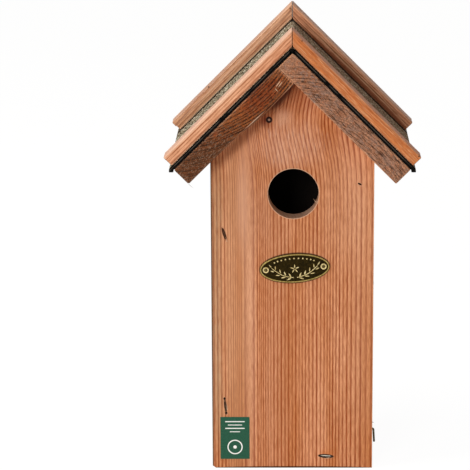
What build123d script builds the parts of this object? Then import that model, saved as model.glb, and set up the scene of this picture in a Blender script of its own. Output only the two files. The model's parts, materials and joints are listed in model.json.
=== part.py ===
from build123d import *

import os
from math import cos, radians, sin, tan

# A wooden bird nest box. The gabled front and back panels hold a fixed left wall and a floor
# between them. The right wall is a door, hung near its top on two nails, and a bent wire hook in
# the front panel's edge turns over it. Two boards lapped at the ridge make the roof, which carries
# a folded sheet of felt held down by mitred battens.
# Millimetres, Z up, X to the right and Y to the back. The origin is the middle of the underside.

# Body
body_width = 145.0
body_depth = 145.0
shoulder_height = 289.5
wall_thickness = 18.0
floor_thickness = 18.0
arris_radius = 1.2

# Entrance, measured down from the shoulder and to the right of the middle
hole_diameter = 45.0
hole_drop = 33.4
hole_offset = 0.9

# Roof, its slope measured down the top of a board from the ridge
roof_pitch = 45.0
roof_thickness = 18.0
roof_slope_length = 146.0
front_overhang = 30.0

# Felt, which turns down over the eaves
felt_thickness = 4.0
felt_overrun = 0.3
felt_bend_radius = 0.5
felt_lip = 1.6

# Battens
batten_thickness = 10.0
batten_width = 20.0
batten_setback = 1.0
batten_arris = 0.8

# Door and its pivot nails
door_side_gap = 1.0
door_foot_gap = 1.0
door_seat_gap = 0.3
vent_gap = 6.0
pivot_drop = 24.5
pivot_inset = 12.9
pivot_nail_diameter = 2.5
pivot_nail_length = 38.0
pivot_head_diameter = 4.0
pivot_head_height = 1.5
pivot_end_gap = 0.5

# Hook that holds the door shut
latch_wire = 1.8
latch_height = 34.0
latch_inset = 7.0
latch_shank = 18.0
latch_leg = 12.5
latch_gap = 0.5
latch_flare = 3.0

# Oval plate and its pins
plate_length = 61.0
plate_height = 25.5
plate_thickness = 1.0
plate_rim_width = 1.3
plate_rim_height = 0.5
plate_drop = 67.9
plate_offset = 1.2
plate_tilt = 3.8
plate_boss_diameter = 5.4
plate_pin_inset = 4.7
pin_diameter = 1.4
pin_length = 12.0
pin_head_diameter = 3.0
pin_head_height = 0.8

# Label on the front
label_width = 26.4
label_height = 40.0
label_thickness = 0.3
label_side_gap = 7.2
label_rise = 8.6

# Staples that hold the body together
staple_crown = 13.0
staple_wire = 1.2
staple_leg = 28.0
staple_sink = 0.6
staple_inset = 12.0
staple_height_shares = (0.204, 0.757)
floor_staple_height_share = 0.62
floor_staple_side_share = 0.21

# Nails of the roof boards
roof_nail_diameter = 2.5
roof_nail_length = 45.0
roof_nail_head = 5.0
roof_nail_head_height = 1.2
roof_nail_middle_gap = 8.0
roof_nail_shoulder_gap = 20.0
ridge_nail_shares = (-0.5, -0.1, 0.3)

# Brads of the battens
brad_diameter = 1.6
brad_length = 25.0
brad_head = 2.6
brad_head_height = 1.0
brad_middle_gap = 4.0
brad_end_gap = 9.0

# Holes in the floor and the back panel
drain_diameter = 8.0
drain_spacing_share = 0.5
hang_hole_diameter = 6.0
hang_hole_drop = 25.0
hang_hole_rise = 45.0

# Driven nails and brads are faceted, with this many sides
nail_sides = 8

# Clearances
running_gap = 0.1
fixed_gap = 0.05
cut_overrun = 2.0

# Faces that several pieces share
pitch = radians(roof_pitch)
right_face = body_width / 2
left_face = -right_face
front_face = -body_depth / 2
back_face = -front_face
front_inside = front_face + wall_thickness
back_inside = back_face - wall_thickness
right_inside = right_face - wall_thickness
left_inside = left_face + wall_thickness
gable_height = shoulder_height + right_face * tan(pitch)
ridge_height = gable_height + roof_thickness / cos(pitch)
roof_front = front_face - front_overhang
roof_depth = back_face - roof_front
hole_height = shoulder_height - hole_drop
pivot_x = right_face - pivot_inset
pivot_z = shoulder_height - pivot_drop
batten_foot = felt_thickness
batten_top = felt_thickness + batten_thickness
batten_length = roof_slope_length - batten_setback
lap_depth = roof_thickness / sin(2 * pitch)
front_batten_back = roof_front + batten_width
rear_batten_front = back_face - batten_width
plate_x = hole_offset + plate_offset
plate_z = hole_height - plate_drop


def section_at(y):
    """Plane of a cross-section, seen from the front. What is extruded from it runs forwards."""
    return Plane.XZ.offset(-y)


def on_slope(along, above, side=1):
    """Point of the section, along the top of a roof board from the ridge and above it."""
    x = along * cos(pitch) + above * sin(pitch)
    return (side * x, ridge_height - along * sin(pitch) + above * cos(pitch))


def slope_seat(along, above, y, side=1):
    """Plane lying on a slope, with Z square to the slope and out of the roof."""
    x, z = on_slope(along, above, side)
    return Plane(origin=(x, y, z), x_dir=(0, 1, 0), z_dir=(side * sin(pitch), 0, cos(pitch)))


def finish(piece, name):
    """Names a piece and writes it to its own file."""
    piece.label = name
    export_step(piece, f"parts/{name}.step")


os.makedirs("parts", exist_ok=True)


# Fasteners. Each set is made twice: as it is, and fatter, to cut its own seats.

def driven_nails(seats, diameter, length, head, head_height, growth=0.0):
    """Faceted nails driven into the given planes, their heads flush."""
    with BuildPart() as nail_set:
        with BuildSketch(*seats):
            RegularPolygon(diameter / 2 + growth, nail_sides)
        extrude(amount=-length - growth)
        with BuildSketch(*seats):
            RegularPolygon(head / 2 + growth, nail_sides)
        extrude(amount=-head_height - growth)
    return nail_set.part


def hinge_nails(seats, growth=0.0):
    """Round nails that the door turns on, their heads flush."""
    top_align = (Align.CENTER, Align.CENTER, Align.MAX)
    with BuildPart() as nail_set:
        with Locations(*seats):
            Cylinder(pivot_nail_diameter / 2 + growth, pivot_nail_length + growth, align=top_align)
            Cylinder(pivot_head_diameter / 2 + growth, pivot_head_height + growth, align=top_align)
    return nail_set.part


def staples(seats, growth=0.0, mouth=0.0):
    """Staples whose crown lies along each plane's X, with Y out of the board that it is in."""
    crown_top = mouth - staple_sink
    with BuildPart() as staple_set:
        for seat in seats:
            with BuildSketch(seat):
                with Locations((0, crown_top)):
                    outer_height = staple_leg + mouth + growth
                    Rectangle(staple_crown + 2 * growth, outer_height, align=(Align.CENTER, Align.MAX))
                with Locations((0, -staple_sink - staple_wire - growth)):
                    inner_width = staple_crown - 2 * staple_wire - 2 * growth
                    Rectangle(inner_width, staple_leg, align=(Align.CENTER, Align.MAX), mode=Mode.SUBTRACT)
            extrude(amount=staple_wire / 2 + growth, both=True)
    return staple_set.part


staple_x = left_face + staple_inset
floor_staple_x = floor_staple_side_share * body_width
floor_staple_z = floor_staple_height_share * floor_thickness
staple_seats = []
for face_y, outward in ((front_face, -1), (back_face, 1)):
    for share in staple_height_shares:
        seat_z = share * shoulder_height
        staple_seats.append(Plane(origin=(staple_x, face_y, seat_z), x_dir=(0, 0, 1), z_dir=(-outward, 0, 0)))
    floor_origin = (floor_staple_x, face_y, floor_staple_z)
    staple_seats.append(Plane(origin=floor_origin, x_dir=(1, 0, 0), z_dir=(0, 0, outward)))
staple_seats.append(Plane(origin=(left_face, 0, floor_staple_z), x_dir=(0, 1, 0), z_dir=(0, 0, 1)))
body_staples = staples(staple_seats)
staple_cuts = staples(staple_seats, fixed_gap, staple_sink + cut_overrun)

gable_slope = right_face / cos(pitch)
gable_start = roof_thickness * tan(pitch)
gable_middles = (front_face + wall_thickness / 2, back_face - wall_thickness / 2)
upper_nail = (roof_nail_middle_gap + roof_nail_length * sin(pitch)) / cos(pitch)
lower_nail = gable_start + gable_slope - roof_nail_shoulder_gap
roof_nail_seats = []
for side in (-1, 1):
    for gable_y in gable_middles:
        for along in (upper_nail, lower_nail):
            roof_nail_seats.append(slope_seat(along, 0, gable_y, side))
for share in ridge_nail_shares:
    roof_nail_seats.append(slope_seat(roof_thickness / 2, 0, share * body_depth))
roof_nail_sizes = (roof_nail_diameter, roof_nail_length, roof_nail_head, roof_nail_head_height)
roof_nails = driven_nails(roof_nail_seats, *roof_nail_sizes)
roof_nail_cuts = driven_nails(roof_nail_seats, *roof_nail_sizes, fixed_gap)

batten_middles = (roof_front + batten_width / 2, back_face - batten_width / 2)
upper_brad = (brad_middle_gap + (brad_length - batten_top) * sin(pitch)) / cos(pitch)
brad_seats = []
for side in (-1, 1):
    for batten_y in batten_middles:
        for along in (upper_brad, batten_length / 2, batten_length - brad_end_gap):
            brad_seats.append(slope_seat(along, batten_top, batten_y, side))
brad_sizes = (brad_diameter, brad_length, brad_head, brad_head_height)
batten_brads = driven_nails(brad_seats, *brad_sizes)
brad_cuts = driven_nails(brad_seats, *brad_sizes, fixed_gap)

pivot_seats = [
    Plane(origin=(pivot_x, front_face, pivot_z), x_dir=(1, 0, 0), z_dir=(0, -1, 0)),
    Plane(origin=(pivot_x, back_face, pivot_z), x_dir=(1, 0, 0), z_dir=(0, 1, 0)),
]
pivot_nails = hinge_nails(pivot_seats)
pivot_cuts = hinge_nails(pivot_seats, fixed_gap)

pin_reach = plate_length / 2 - plate_pin_inset
plate_tilt_angle = radians(plate_tilt)
pin_seats = []
for side in (-1, 1):
    pin_x = plate_x + side * pin_reach * cos(plate_tilt_angle)
    pin_z = plate_z + side * pin_reach * sin(plate_tilt_angle)
    pin_y = front_face - plate_thickness - plate_rim_height
    pin_seats.append(Plane(origin=(pin_x, pin_y, pin_z), x_dir=(1, 0, 0), z_dir=(0, -1, 0)))
with BuildPart() as plate_pins:
    with Locations(*pin_seats):
        Cylinder(pin_diameter / 2, pin_length, align=(Align.CENTER, Align.CENTER, Align.MAX))
        Cylinder(pin_head_diameter / 2, pin_head_height, align=(Align.CENTER, Align.CENTER, Align.MIN))
    chamfer(plate_pins.faces().filter_by(Plane.XZ).group_by(Axis.Y)[0].edges(), pin_head_height / 2)
with BuildPart() as pin_cuts:
    with Locations(*pin_seats):
        cut_length = pin_length + fixed_gap
        Cylinder(pin_diameter / 2 + fixed_gap, cut_length, align=(Align.CENTER, Align.CENTER, Align.MAX))


# Gabled panels

gabled_outline = (
    (left_face, 0),
    (right_face, 0),
    (right_face, shoulder_height),
    (0, gable_height),
    (left_face, shoulder_height),
)

latch_y = front_inside - latch_inset
with BuildPart() as front_panel:
    with BuildSketch(section_at(front_inside)):
        Polygon(*gabled_outline, align=None)
        with Locations((hole_offset, hole_height)):
            Circle(hole_diameter / 2, mode=Mode.SUBTRACT)
    extrude(amount=wall_thickness)
    fillet(front_panel.edges().filter_by(Axis.Z).group_by(Axis.Y)[0], arris_radius)
    with Locations(Plane(origin=(right_face, latch_y, latch_height), z_dir=(1, 0, 0))):
        latch_bore = latch_shank + running_gap
        latch_bore_radius = latch_wire / 2 + running_gap
        top_align = (Align.CENTER, Align.CENTER, Align.MAX)
        Cylinder(latch_bore_radius, latch_bore, align=top_align, mode=Mode.SUBTRACT)
    add(staple_cuts, mode=Mode.SUBTRACT)
    add(roof_nail_cuts, mode=Mode.SUBTRACT)
    add(pivot_cuts, mode=Mode.SUBTRACT)
    add(pin_cuts.part, mode=Mode.SUBTRACT)
finish(front_panel.part, "front_panel")

with BuildPart() as back_panel:
    with BuildSketch(section_at(back_face)):
        Polygon(*gabled_outline, align=None)
        with Locations((0, shoulder_height - hang_hole_drop), (0, hang_hole_rise)):
            Circle(hang_hole_diameter / 2, mode=Mode.SUBTRACT)
    extrude(amount=wall_thickness)
    fillet(back_panel.edges().filter_by(Axis.Z).group_by(Axis.Y)[-1], arris_radius)
    add(staple_cuts, mode=Mode.SUBTRACT)
    add(roof_nail_cuts, mode=Mode.SUBTRACT)
    add(pivot_cuts, mode=Mode.SUBTRACT)
finish(back_panel.part, "back_panel")


# Walls and floor

bevel_rise = wall_thickness * tan(pitch)
with BuildPart() as left_wall:
    with BuildSketch(section_at(back_inside)):
        with BuildLine():
            Polyline(
                (left_face, 0),
                (left_inside, 0),
                (left_inside, shoulder_height + bevel_rise),
                (left_face, shoulder_height),
                close=True,
            )
        make_face()
    extrude(amount=back_inside - front_inside)
    add(staple_cuts, mode=Mode.SUBTRACT)
finish(left_wall.part, "left_wall")

door_front = front_inside + door_side_gap
door_back = back_inside - door_side_gap
with BuildPart() as side_door:
    with BuildSketch(section_at(door_back)):
        with BuildLine():
            Polyline(
                (right_inside, door_foot_gap),
                (right_face, door_foot_gap),
                (right_face, shoulder_height - vent_gap),
                (right_inside, shoulder_height - vent_gap + bevel_rise),
                close=True,
            )
        make_face()
    extrude(amount=door_back - door_front)
    fillet(side_door.edges().filter_by(Axis.Z).group_by(Axis.X)[-1], arris_radius)
    with Locations(*pivot_seats):
        bore_depth = pivot_nail_length + pivot_end_gap
        bore_radius = pivot_nail_diameter / 2 + running_gap
        top_align = (Align.CENTER, Align.CENTER, Align.MAX)
        Cylinder(bore_radius, bore_depth, align=top_align, mode=Mode.SUBTRACT)
finish(side_door.part, "side_door")

floor_right = right_inside - door_seat_gap
floor_width = floor_right - left_inside
floor_depth = back_inside - front_inside
with BuildPart() as floor_panel:
    with BuildSketch():
        with Locations(((floor_right + left_inside) / 2, (front_inside + back_inside) / 2)):
            Rectangle(floor_width, floor_depth)
            with GridLocations(drain_spacing_share * floor_width, drain_spacing_share * floor_depth, 2, 2):
                Circle(drain_diameter / 2, mode=Mode.SUBTRACT)
    extrude(amount=floor_thickness)
    add(staple_cuts, mode=Mode.SUBTRACT)
finish(floor_panel.part, "floor_panel")


# Roof boards. The right one laps over the top end of the left one.

lap_top = on_slope(lap_depth, 0, -1)
with BuildPart() as roof_board_right:
    with BuildSketch(section_at(back_face)):
        with BuildLine():
            Polyline(
                on_slope(0, 0),
                on_slope(roof_slope_length, 0),
                on_slope(roof_slope_length, -roof_thickness),
                lap_top,
                close=True,
            )
        make_face()
    extrude(amount=roof_depth)
    add(roof_nail_cuts, mode=Mode.SUBTRACT)
    add(brad_cuts, mode=Mode.SUBTRACT)
finish(roof_board_right.part, "roof_board_right")

with BuildPart() as roof_board_left:
    with BuildSketch(section_at(back_face)):
        with BuildLine():
            Polyline(
                lap_top,
                on_slope(roof_slope_length, 0, -1),
                on_slope(roof_slope_length, -roof_thickness, -1),
                (0, gable_height),
                close=True,
            )
        make_face()
    extrude(amount=roof_depth)
    add(roof_nail_cuts, mode=Mode.SUBTRACT)
    add(brad_cuts, mode=Mode.SUBTRACT)
finish(roof_board_left.part, "roof_board_left")


# Felt, folded over the ridge and turned down past the eaves

felt_turn = roof_slope_length + felt_overrun
felt_outer_radius = felt_thickness + felt_bend_radius
turn_x, turn_z = on_slope(felt_turn, -felt_bend_radius)
tip_z = turn_z - felt_lip


def turned(radius, angle):
    """Point of the bend at the eave, at an angle above the horizontal in degrees."""
    return (turn_x + radius * cos(radians(angle)), turn_z + radius * sin(radians(angle)))


slope_out = 90 - roof_pitch
with BuildPart() as roof_felt:
    with BuildSketch(section_at(back_face)):
        with BuildLine():
            fold_top = (0, ridge_height + felt_thickness)
            fold_side = on_slope(0, felt_thickness)
            fold_middle = (
                felt_thickness * sin(pitch / 2),
                ridge_height + felt_thickness * cos(pitch / 2),
            )
            ThreePointArc(fold_top, fold_middle, fold_side)
            Line(fold_side, turned(felt_outer_radius, slope_out))
            ThreePointArc(
                turned(felt_outer_radius, slope_out),
                turned(felt_outer_radius, slope_out / 2),
                turned(felt_outer_radius, 0),
            )
            Polyline(
                turned(felt_outer_radius, 0),
                (turn_x + felt_outer_radius, tip_z),
                (turn_x + felt_bend_radius, tip_z),
                turned(felt_bend_radius, 0),
            )
            ThreePointArc(
                turned(felt_bend_radius, 0),
                turned(felt_bend_radius, slope_out / 2),
                turned(felt_bend_radius, slope_out),
            )
            Polyline(turned(felt_bend_radius, slope_out), (0, ridge_height), fold_top)
        make_face()
        mirror(about=Plane.YZ)
    extrude(amount=roof_depth)
    add(brad_cuts, mode=Mode.SUBTRACT)
finish(roof_felt.part, "roof_felt")


# Battens, mitred at the ridge

mitre_foot = (0, ridge_height + batten_foot / cos(pitch))
mitre_top = (0, ridge_height + batten_top / cos(pitch))
for end_name, batten_back in (("front", front_batten_back), ("rear", back_face)):
    for side_name, side in (("left", -1), ("right", 1)):
        with BuildPart() as batten:
            with BuildSketch(section_at(batten_back)):
                with BuildLine():
                    Polyline(
                        mitre_foot,
                        mitre_top,
                        on_slope(batten_length, batten_top, side),
                        on_slope(batten_length, batten_foot, side),
                        close=True,
                    )
                make_face()
            extrude(amount=batten_width)
            long_edges = batten.edges().filter_by(lambda edge: abs(edge.length - batten_length) < batten_top)
            fillet(long_edges.group_by(Axis.Z)[-1], batten_arris)
            add(brad_cuts, mode=Mode.SUBTRACT)
        finish(batten.part, f"{end_name}_batten_{side_name}")


# Hook, a bent wire that hangs beside the door and turns back over it

hook_start = (right_face - latch_shank, latch_y, latch_height)
hook_corner = (right_face + latch_gap + latch_wire / 2, latch_y, latch_height)
hook_tip = (
    hook_corner[0] + latch_leg * sin(radians(latch_flare)),
    latch_y,
    latch_height - latch_leg * cos(radians(latch_flare)),
)
with BuildPart() as latch_hook:
    with BuildLine():
        FilletPolyline(hook_start, hook_corner, hook_tip, radius=latch_gap + latch_wire / 2)
    with BuildSketch(Plane(origin=hook_start, z_dir=(1, 0, 0))):
        Circle(latch_wire / 2)
    sweep()
finish(latch_hook.part, "latch_hook")


# Oval plate with a raised rim and a boss round each pin

with BuildPart() as name_plate:
    with BuildSketch(section_at(front_face)):
        with Locations((plate_x, plate_z)):
            Ellipse(plate_length / 2, plate_height / 2, rotation=plate_tilt)
    extrude(amount=plate_thickness)
    with BuildSketch(section_at(front_face - plate_thickness)):
        with Locations((plate_x, plate_z)):
            Ellipse(plate_length / 2, plate_height / 2, rotation=plate_tilt)
            inner_x = plate_length / 2 - plate_rim_width
            inner_z = plate_height / 2 - plate_rim_width
            Ellipse(inner_x, inner_z, rotation=plate_tilt, mode=Mode.SUBTRACT)
        with Locations(*[(seat.origin.X, seat.origin.Z) for seat in pin_seats]):
            Circle(plate_boss_diameter / 2)
    extrude(amount=plate_rim_height)
    add(pin_cuts.part, mode=Mode.SUBTRACT)
finish(name_plate.part, "name_plate")

with BuildPart() as front_label:
    with BuildSketch(section_at(front_face)):
        with Locations((left_face + label_side_gap + label_width / 2, label_rise + label_height / 2)):
            Rectangle(label_width, label_height)
    extrude(amount=label_thickness)
finish(front_label.part, "front_label")

finish(body_staples, "body_staples")
finish(roof_nails, "roof_nails")
finish(batten_brads, "batten_brads")
finish(pivot_nails, "pivot_nails")
finish(plate_pins.part, "plate_pins")
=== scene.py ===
import json
from math import cos, radians, sin, sqrt
from types import SimpleNamespace

import bmesh
import bpy
from mathutils import Euler, Matrix, Vector

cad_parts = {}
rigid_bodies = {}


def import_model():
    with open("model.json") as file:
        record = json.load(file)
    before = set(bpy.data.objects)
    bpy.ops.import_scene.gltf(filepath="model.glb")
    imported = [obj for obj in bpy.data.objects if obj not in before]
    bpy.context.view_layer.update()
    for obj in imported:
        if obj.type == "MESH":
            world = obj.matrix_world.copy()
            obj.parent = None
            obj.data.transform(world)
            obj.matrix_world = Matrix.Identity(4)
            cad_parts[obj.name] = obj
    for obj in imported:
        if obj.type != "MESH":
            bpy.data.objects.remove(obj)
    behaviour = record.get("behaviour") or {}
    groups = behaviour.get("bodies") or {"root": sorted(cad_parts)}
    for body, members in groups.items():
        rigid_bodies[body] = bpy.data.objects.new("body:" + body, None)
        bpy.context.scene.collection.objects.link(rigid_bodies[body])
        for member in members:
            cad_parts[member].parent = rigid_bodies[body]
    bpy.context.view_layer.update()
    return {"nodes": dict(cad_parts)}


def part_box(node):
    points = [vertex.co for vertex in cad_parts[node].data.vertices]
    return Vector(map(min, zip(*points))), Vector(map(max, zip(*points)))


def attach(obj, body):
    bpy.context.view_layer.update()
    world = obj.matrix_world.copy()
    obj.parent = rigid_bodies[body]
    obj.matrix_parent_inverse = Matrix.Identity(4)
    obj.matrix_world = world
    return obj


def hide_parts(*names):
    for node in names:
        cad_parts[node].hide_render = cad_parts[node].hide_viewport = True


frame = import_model()
bpy.ops.object.select_all(action="DESELECT")
scene = bpy.context.scene
scene.view_settings.view_transform = "Standard"

MM = 0.001


def metres(*sizes):
    """Sizes or a place given in millimetres."""
    return [size * MM for size in sizes]


def corners(node_name):
    """Lowest and highest corner of a CAD node, in millimetres."""
    return [[round(c / MM, 2) for c in corner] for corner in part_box(node_name)]


# Sizes in millimetres, worked out from the frame

(LEFT, FACE, _), (RIGHT, PANEL_BACK, PEAK) = corners("front_panel")
WIDTH = RIGHT - LEFT
BOARD = PANEL_BACK - FACE
PANEL_MIDDLE = (FACE + PANEL_BACK) / 2
(_, ROOF_FRONT, _), (_, ROOF_BACK, RIDGE) = corners("roof_board_right")
ROOF_DEPTH = ROOF_BACK - ROOF_FRONT
ROOF_MIDDLE = (ROOF_FRONT + ROOF_BACK) / 2
(FELT_LEFT, _, FELT_FOOT), _ = corners("roof_felt")
LABEL_LOW, LABEL_HIGH = [Vector(corner) for corner in corners("front_label")]

# Driving sizes and places that only the scene uses, in millimetres and degrees

PITCH = 45
HALF = sqrt(0.5)
ROOF_RUN = 146
FELT = 4
BATTEN_WIDTH, BATTEN_THICKNESS, BATTEN_LENGTH, BATTEN_START = 20, 10, 161, -16
REAR = ROOF_BACK - BATTEN_WIDTH
HOLE_X, HOLE_Z, HOLE_RADIUS = 0.9, 256.1, 22.5
KNOT = (-20.5, 322.8)
STAPLE_X, UPPER_STAPLE_Z, LOWER_STAPLE_Z = -60.6, 219.4, 59
FOOT_STAPLE_X, FOOT_STAPLE_Z = 30.45, 11.2
PIVOT_X, PIVOT_Z = 59.6, 265
PLATE_X, PLATE_Z, PLATE_TILT = 2.1, 188.2, -3.8
PLATE_REACH, PLATE_HALF_HEIGHT, PIN_REACH = 31.1, 13.1, 25.8


def linear(hex_colour):
    """Linear colour of an sRGB hex value."""
    channels = [int(hex_colour[i:i + 2], 16) / 255 for i in (1, 3, 5)]
    return [c / 12.92 if c <= 0.04045 else ((c + 0.055) / 1.055) ** 2.4 for c in channels] + [1.0]


# The setting that a kind of node names its mode by
MODES = {
    "Math": "operation", "VectorMath": "operation", "Mix": "data_type", "Mapping": "vector_type",
    "MapRange": "interpolation_type", "TexNoise": "noise_dimensions", "TexWhiteNoise": "noise_dimensions",
}


def fill(tree):
    """Empties a node tree and gives the function that adds nodes to it."""
    tree.nodes.clear()

    def add(kind, *inputs, **named):
        """Adds a node, its mode after a dot in its kind. Inputs go in the node's own order, or by a name with
        a capital, and other names are settings. An input is a value, an sRGB hex colour, another node's
        output, or another node, which stands for its first output."""
        kind, _, mode = kind.partition(".")
        made = tree.nodes.new("ShaderNode" + kind)
        if mode:
            setattr(made, MODES[kind], mode)
        for name in filter(str.islower, named):
            setattr(made, name, named[name])
        sockets = list(zip([socket for socket in made.inputs if socket.enabled], inputs))
        sockets += [(made.inputs[name], value) for name, value in named.items() if not name.islower()]
        for socket, value in sockets:
            if isinstance(value, bpy.types.Node):
                value = next(output for output in value.outputs if output.enabled)
            if isinstance(value, bpy.types.NodeSocket):
                tree.links.new(value, socket)
            else:
                socket.default_value = linear(value) if isinstance(value, str) else value
        return made
    return add


def base(name):
    """A material with an empty node tree, the function that adds its nodes, its texture coordinates, and its
    own place in millimetres."""
    made = bpy.data.materials.new(name)
    made.use_nodes = True
    add = fill(made.node_tree)
    spot = add("TexCoord")
    return made, add, spot, add("VectorMath.SCALE", spot.outputs["Object"], 1 / MM)


def surface(add, colour, rough, height=None, strength=0.0, depth=0.0, specular=0.5, **sockets):
    """Ends a material with its shader, and with relief where it has a height of a depth in millimetres."""
    if height:
        sockets["Normal"] = add("Bump", Height=height, Strength=strength, Distance=depth * MM)
    sockets.update({"Base Color": colour, "Roughness": rough, "Specular IOR Level": specular})
    add("OutputMaterial", Surface=add("BsdfPrincipled", **sockets))


# Camera, floor and light

camera_data = bpy.data.cameras.new("camera")
camera_data.sensor_width = 36.0
camera_data.lens = 182.515
camera_data.shift_x = -0.122092
camera_data.clip_end = 60.0
camera = bpy.data.objects.new("camera", camera_data)
camera.location = (0, -2.128053, 0.730752)
camera.rotation_euler = (radians(76.0073), 0, 0)
scene.collection.objects.link(camera)
scene.camera = camera


def seen_directly(add):
    """1 for what the camera sees straight or in a gloss, and 0 for the light that is shed."""
    path = add("LightPath")
    return add("Math.MAXIMUM", path.outputs["Is Camera Ray"], path.outputs["Is Glossy Ray"])


bpy.ops.mesh.primitive_plane_add(size=40)
floor = bpy.context.object
floor.name = "studio_floor"
paper = bpy.data.materials.new("white_studio_paper")
paper.use_nodes = True
add = fill(paper.node_tree)
seen = seen_directly(add)
matt = add("BsdfDiffuse", Color="#E9E6E1")
white = add("Emission", Color="#FFFFFF", Strength=1.06)
bright = add("Math.MULTIPLY", seen, 0.9)
mixed = add("MixShader", bright, matt, white)
add("OutputMaterial", Surface=mixed)
floor.data.materials.append(paper)

world = bpy.data.worlds.new("studio")
scene.world = world
world.use_nodes = True
add = fill(world.node_tree)
seen = seen_directly(add)
soft = add("Background", Color="#FFFFFF", Strength=0.33)
white = add("Background", Color="#FFFFFF", Strength=1.0)
mixed = add("MixShader", seen, soft, white)
add("OutputWorld", Surface=mixed)


def soft_box(name, place, target, size, power):
    """A square studio lamp that faces a point."""
    lamp = bpy.data.lights.new(name, "AREA")
    lamp.shape = "SQUARE"
    lamp.size = size
    lamp.energy = power
    holder = bpy.data.objects.new(name, lamp)
    holder.location = place
    holder.rotation_euler = (Vector(target) - Vector(place)).to_track_quat("-Z", "Y").to_euler()
    scene.collection.objects.link(holder)


soft_box("key", (-0.8, -2.5, 0.95), (0, 0, 0.22), 0.9, 33)
soft_box("top", (-1.5, -0.4, 1.85), (0, 0, 0.3), 1.0, 32)


# Wood

PLAIN_LARCH = dict(
    early="#DB9A71", late="#7A3812", shade="#C07847", ring_width=3.0, ring_table=None, wave=1.2, contrast=1.0,
    weakest=0.45, breaks=0.45, bleach=0.0, seed=0.0, end_early="#94674C", end_late="#67402A",
    end_red="#A8593A", end_grey="#8C7A72", pore_depth=1.0, bend=None, fade=None, face=ROOF_FRONT, deep=8,
)


def larch(name, pith, turn, paint=(), **changes):
    """Oiled larch, each board from its own part of the log. Late wood gives close reddish lines along the
    grain and arcs on the sawn ends, which soak up more oil and are darker, rougher and blotchy. Its paint
    lies on a face at y, and goes deep into the wood, both in millimetres."""
    look = SimpleNamespace(**{**PLAIN_LARCH, **changes})
    made, add, spot, mm = base(name)
    angles = [radians(angle) for angle in turn]
    place = bent_round_knot(add, mm, *look.bend) if look.bend else mm
    log = add("Mapping.TEXTURE", Vector=place, Location=pith, Rotation=angles)
    amount, patches = late_wood(add, log, ring_count(add, log, look), look)
    if look.fade:
        amount = lines_faded(add, mm, amount, *look.fade)
    # Fibres 0.8 mm apart and about 10 mm long, drawn as coarse as the photograph's pixels show.
    fibre = stretched_noise(add, log, 1.3, 0.12, Detail=3.0, Roughness=0.6)
    # Pores and torn fibres of about 1 mm on the sawn ends, where the surface is square to the grain.
    pore = add("TexNoise", Vector=mm, Scale=0.95, Detail=3.0, Roughness=0.7)
    grain = Euler(angles).to_matrix() @ Vector((0, 0, 1))
    facing = add("VectorMath.DOT_PRODUCT", spot.outputs["Normal"], grain)
    square = add("Math.ABSOLUTE", facing)
    end = add("MapRange.SMOOTHSTEP", square, 0.6, 0.84)
    side_wood = long_grain(add, log, amount, fibre, look)
    end_wood = sawn_end(add, mm, amount, pore, look)
    colour = add("Mix.RGBA", end, side_wood, end_wood)
    # Arrises are rubbed paler, and the pale line along them is also a painted highlight.
    eased = add("Bevel", Radius=1.1 * MM, samples=6)
    true = add("NewGeometry")
    turned = add("VectorMath.DOT_PRODUCT", eased, true.outputs["True Normal"])
    rubbed = add("MapRange", turned, 0.995, 0.9, 0, 0.42)
    rubbed = add("Math.MULTIPLY", rubbed, patches, use_clamp=True)
    colour = add("Mix.RGBA", rubbed, colour, "#DDB493")
    if look.bleach:
        # Upper faces are painted paler, as sun-faded wood and as painted light from above.
        upward = add("SeparateXYZ", spot.outputs["Normal"])
        pale = add("MapRange", upward.outputs["Z"], 0.3, 0.6, 0, look.bleach)
        colour = add("Mix.RGBA", pale, colour, "#DDBBA4")
    for coat in paint:
        colour = coat(add, mm, colour, fibre, look)
    colour = chamber_shade(add, mm, colour)
    rough = add("MapRange", end, 0, 1, 0.56, 0.85)
    ridges = add("Math.MULTIPLY_ADD", amount, 0.6, fibre)
    sawn = add("Math.MULTIPLY", pore, 3.0)
    height = add("Mix.FLOAT", end, ridges, sawn)
    surface(add, colour, rough, height, 0.6, 0.2, specular=0.12, IOR=1.48)
    return made


def stretched_noise(add, log, across, along, **inputs):
    """Noise with a fineness per millimetre across and along the log, and its own seed W if it has one."""
    drawn = add("VectorMath.MULTIPLY", log, (across, across, along))
    return add("TexNoise.4D" if "W" in inputs else "TexNoise.3D", Vector=drawn, Scale=1.0, **inputs)


def ring_count(add, log, look):
    """Years from the pith. Lines wander slowly, over about 90 mm across and 300 mm along the grain."""
    drift = stretched_noise(add, log, 0.011, 0.0034, W=look.seed, Detail=2.0, Roughness=0.45)
    centred = add("VectorMath.SUBTRACT", drift.outputs["Color"], (0.5, 0.5, 0.5))
    moved = add("VectorMath.SCALE", centred, look.wave * 4)
    grown = add("VectorMath.ADD", log, moved)
    flat = add("VectorMath.MULTIPLY", grown, (1, 1, 0))
    radius = add("VectorMath.LENGTH", flat)
    if look.ring_table:
        reach, total = look.ring_table[-1]
        share = add("Math.DIVIDE", radius, reach)
        table = add("FloatCurve", Value=share)
        points = table.mapping.curves[0].points
        points[0].location = (0, 1.3 / total)
        points[1].location = (1, 1)
        for distance, years in look.ring_table[:-1]:
            points.new(distance / reach, years / total)
        table.mapping.update()
        return add("Math.MULTIPLY", table, total)
    even = add("Math.DIVIDE", radius, look.ring_width)
    uneven = add("TexNoise.1D", W=even, Scale=0.45, Detail=1.0)
    return add("Math.MULTIPLY_ADD", uneven, 1.6, even)


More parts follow.
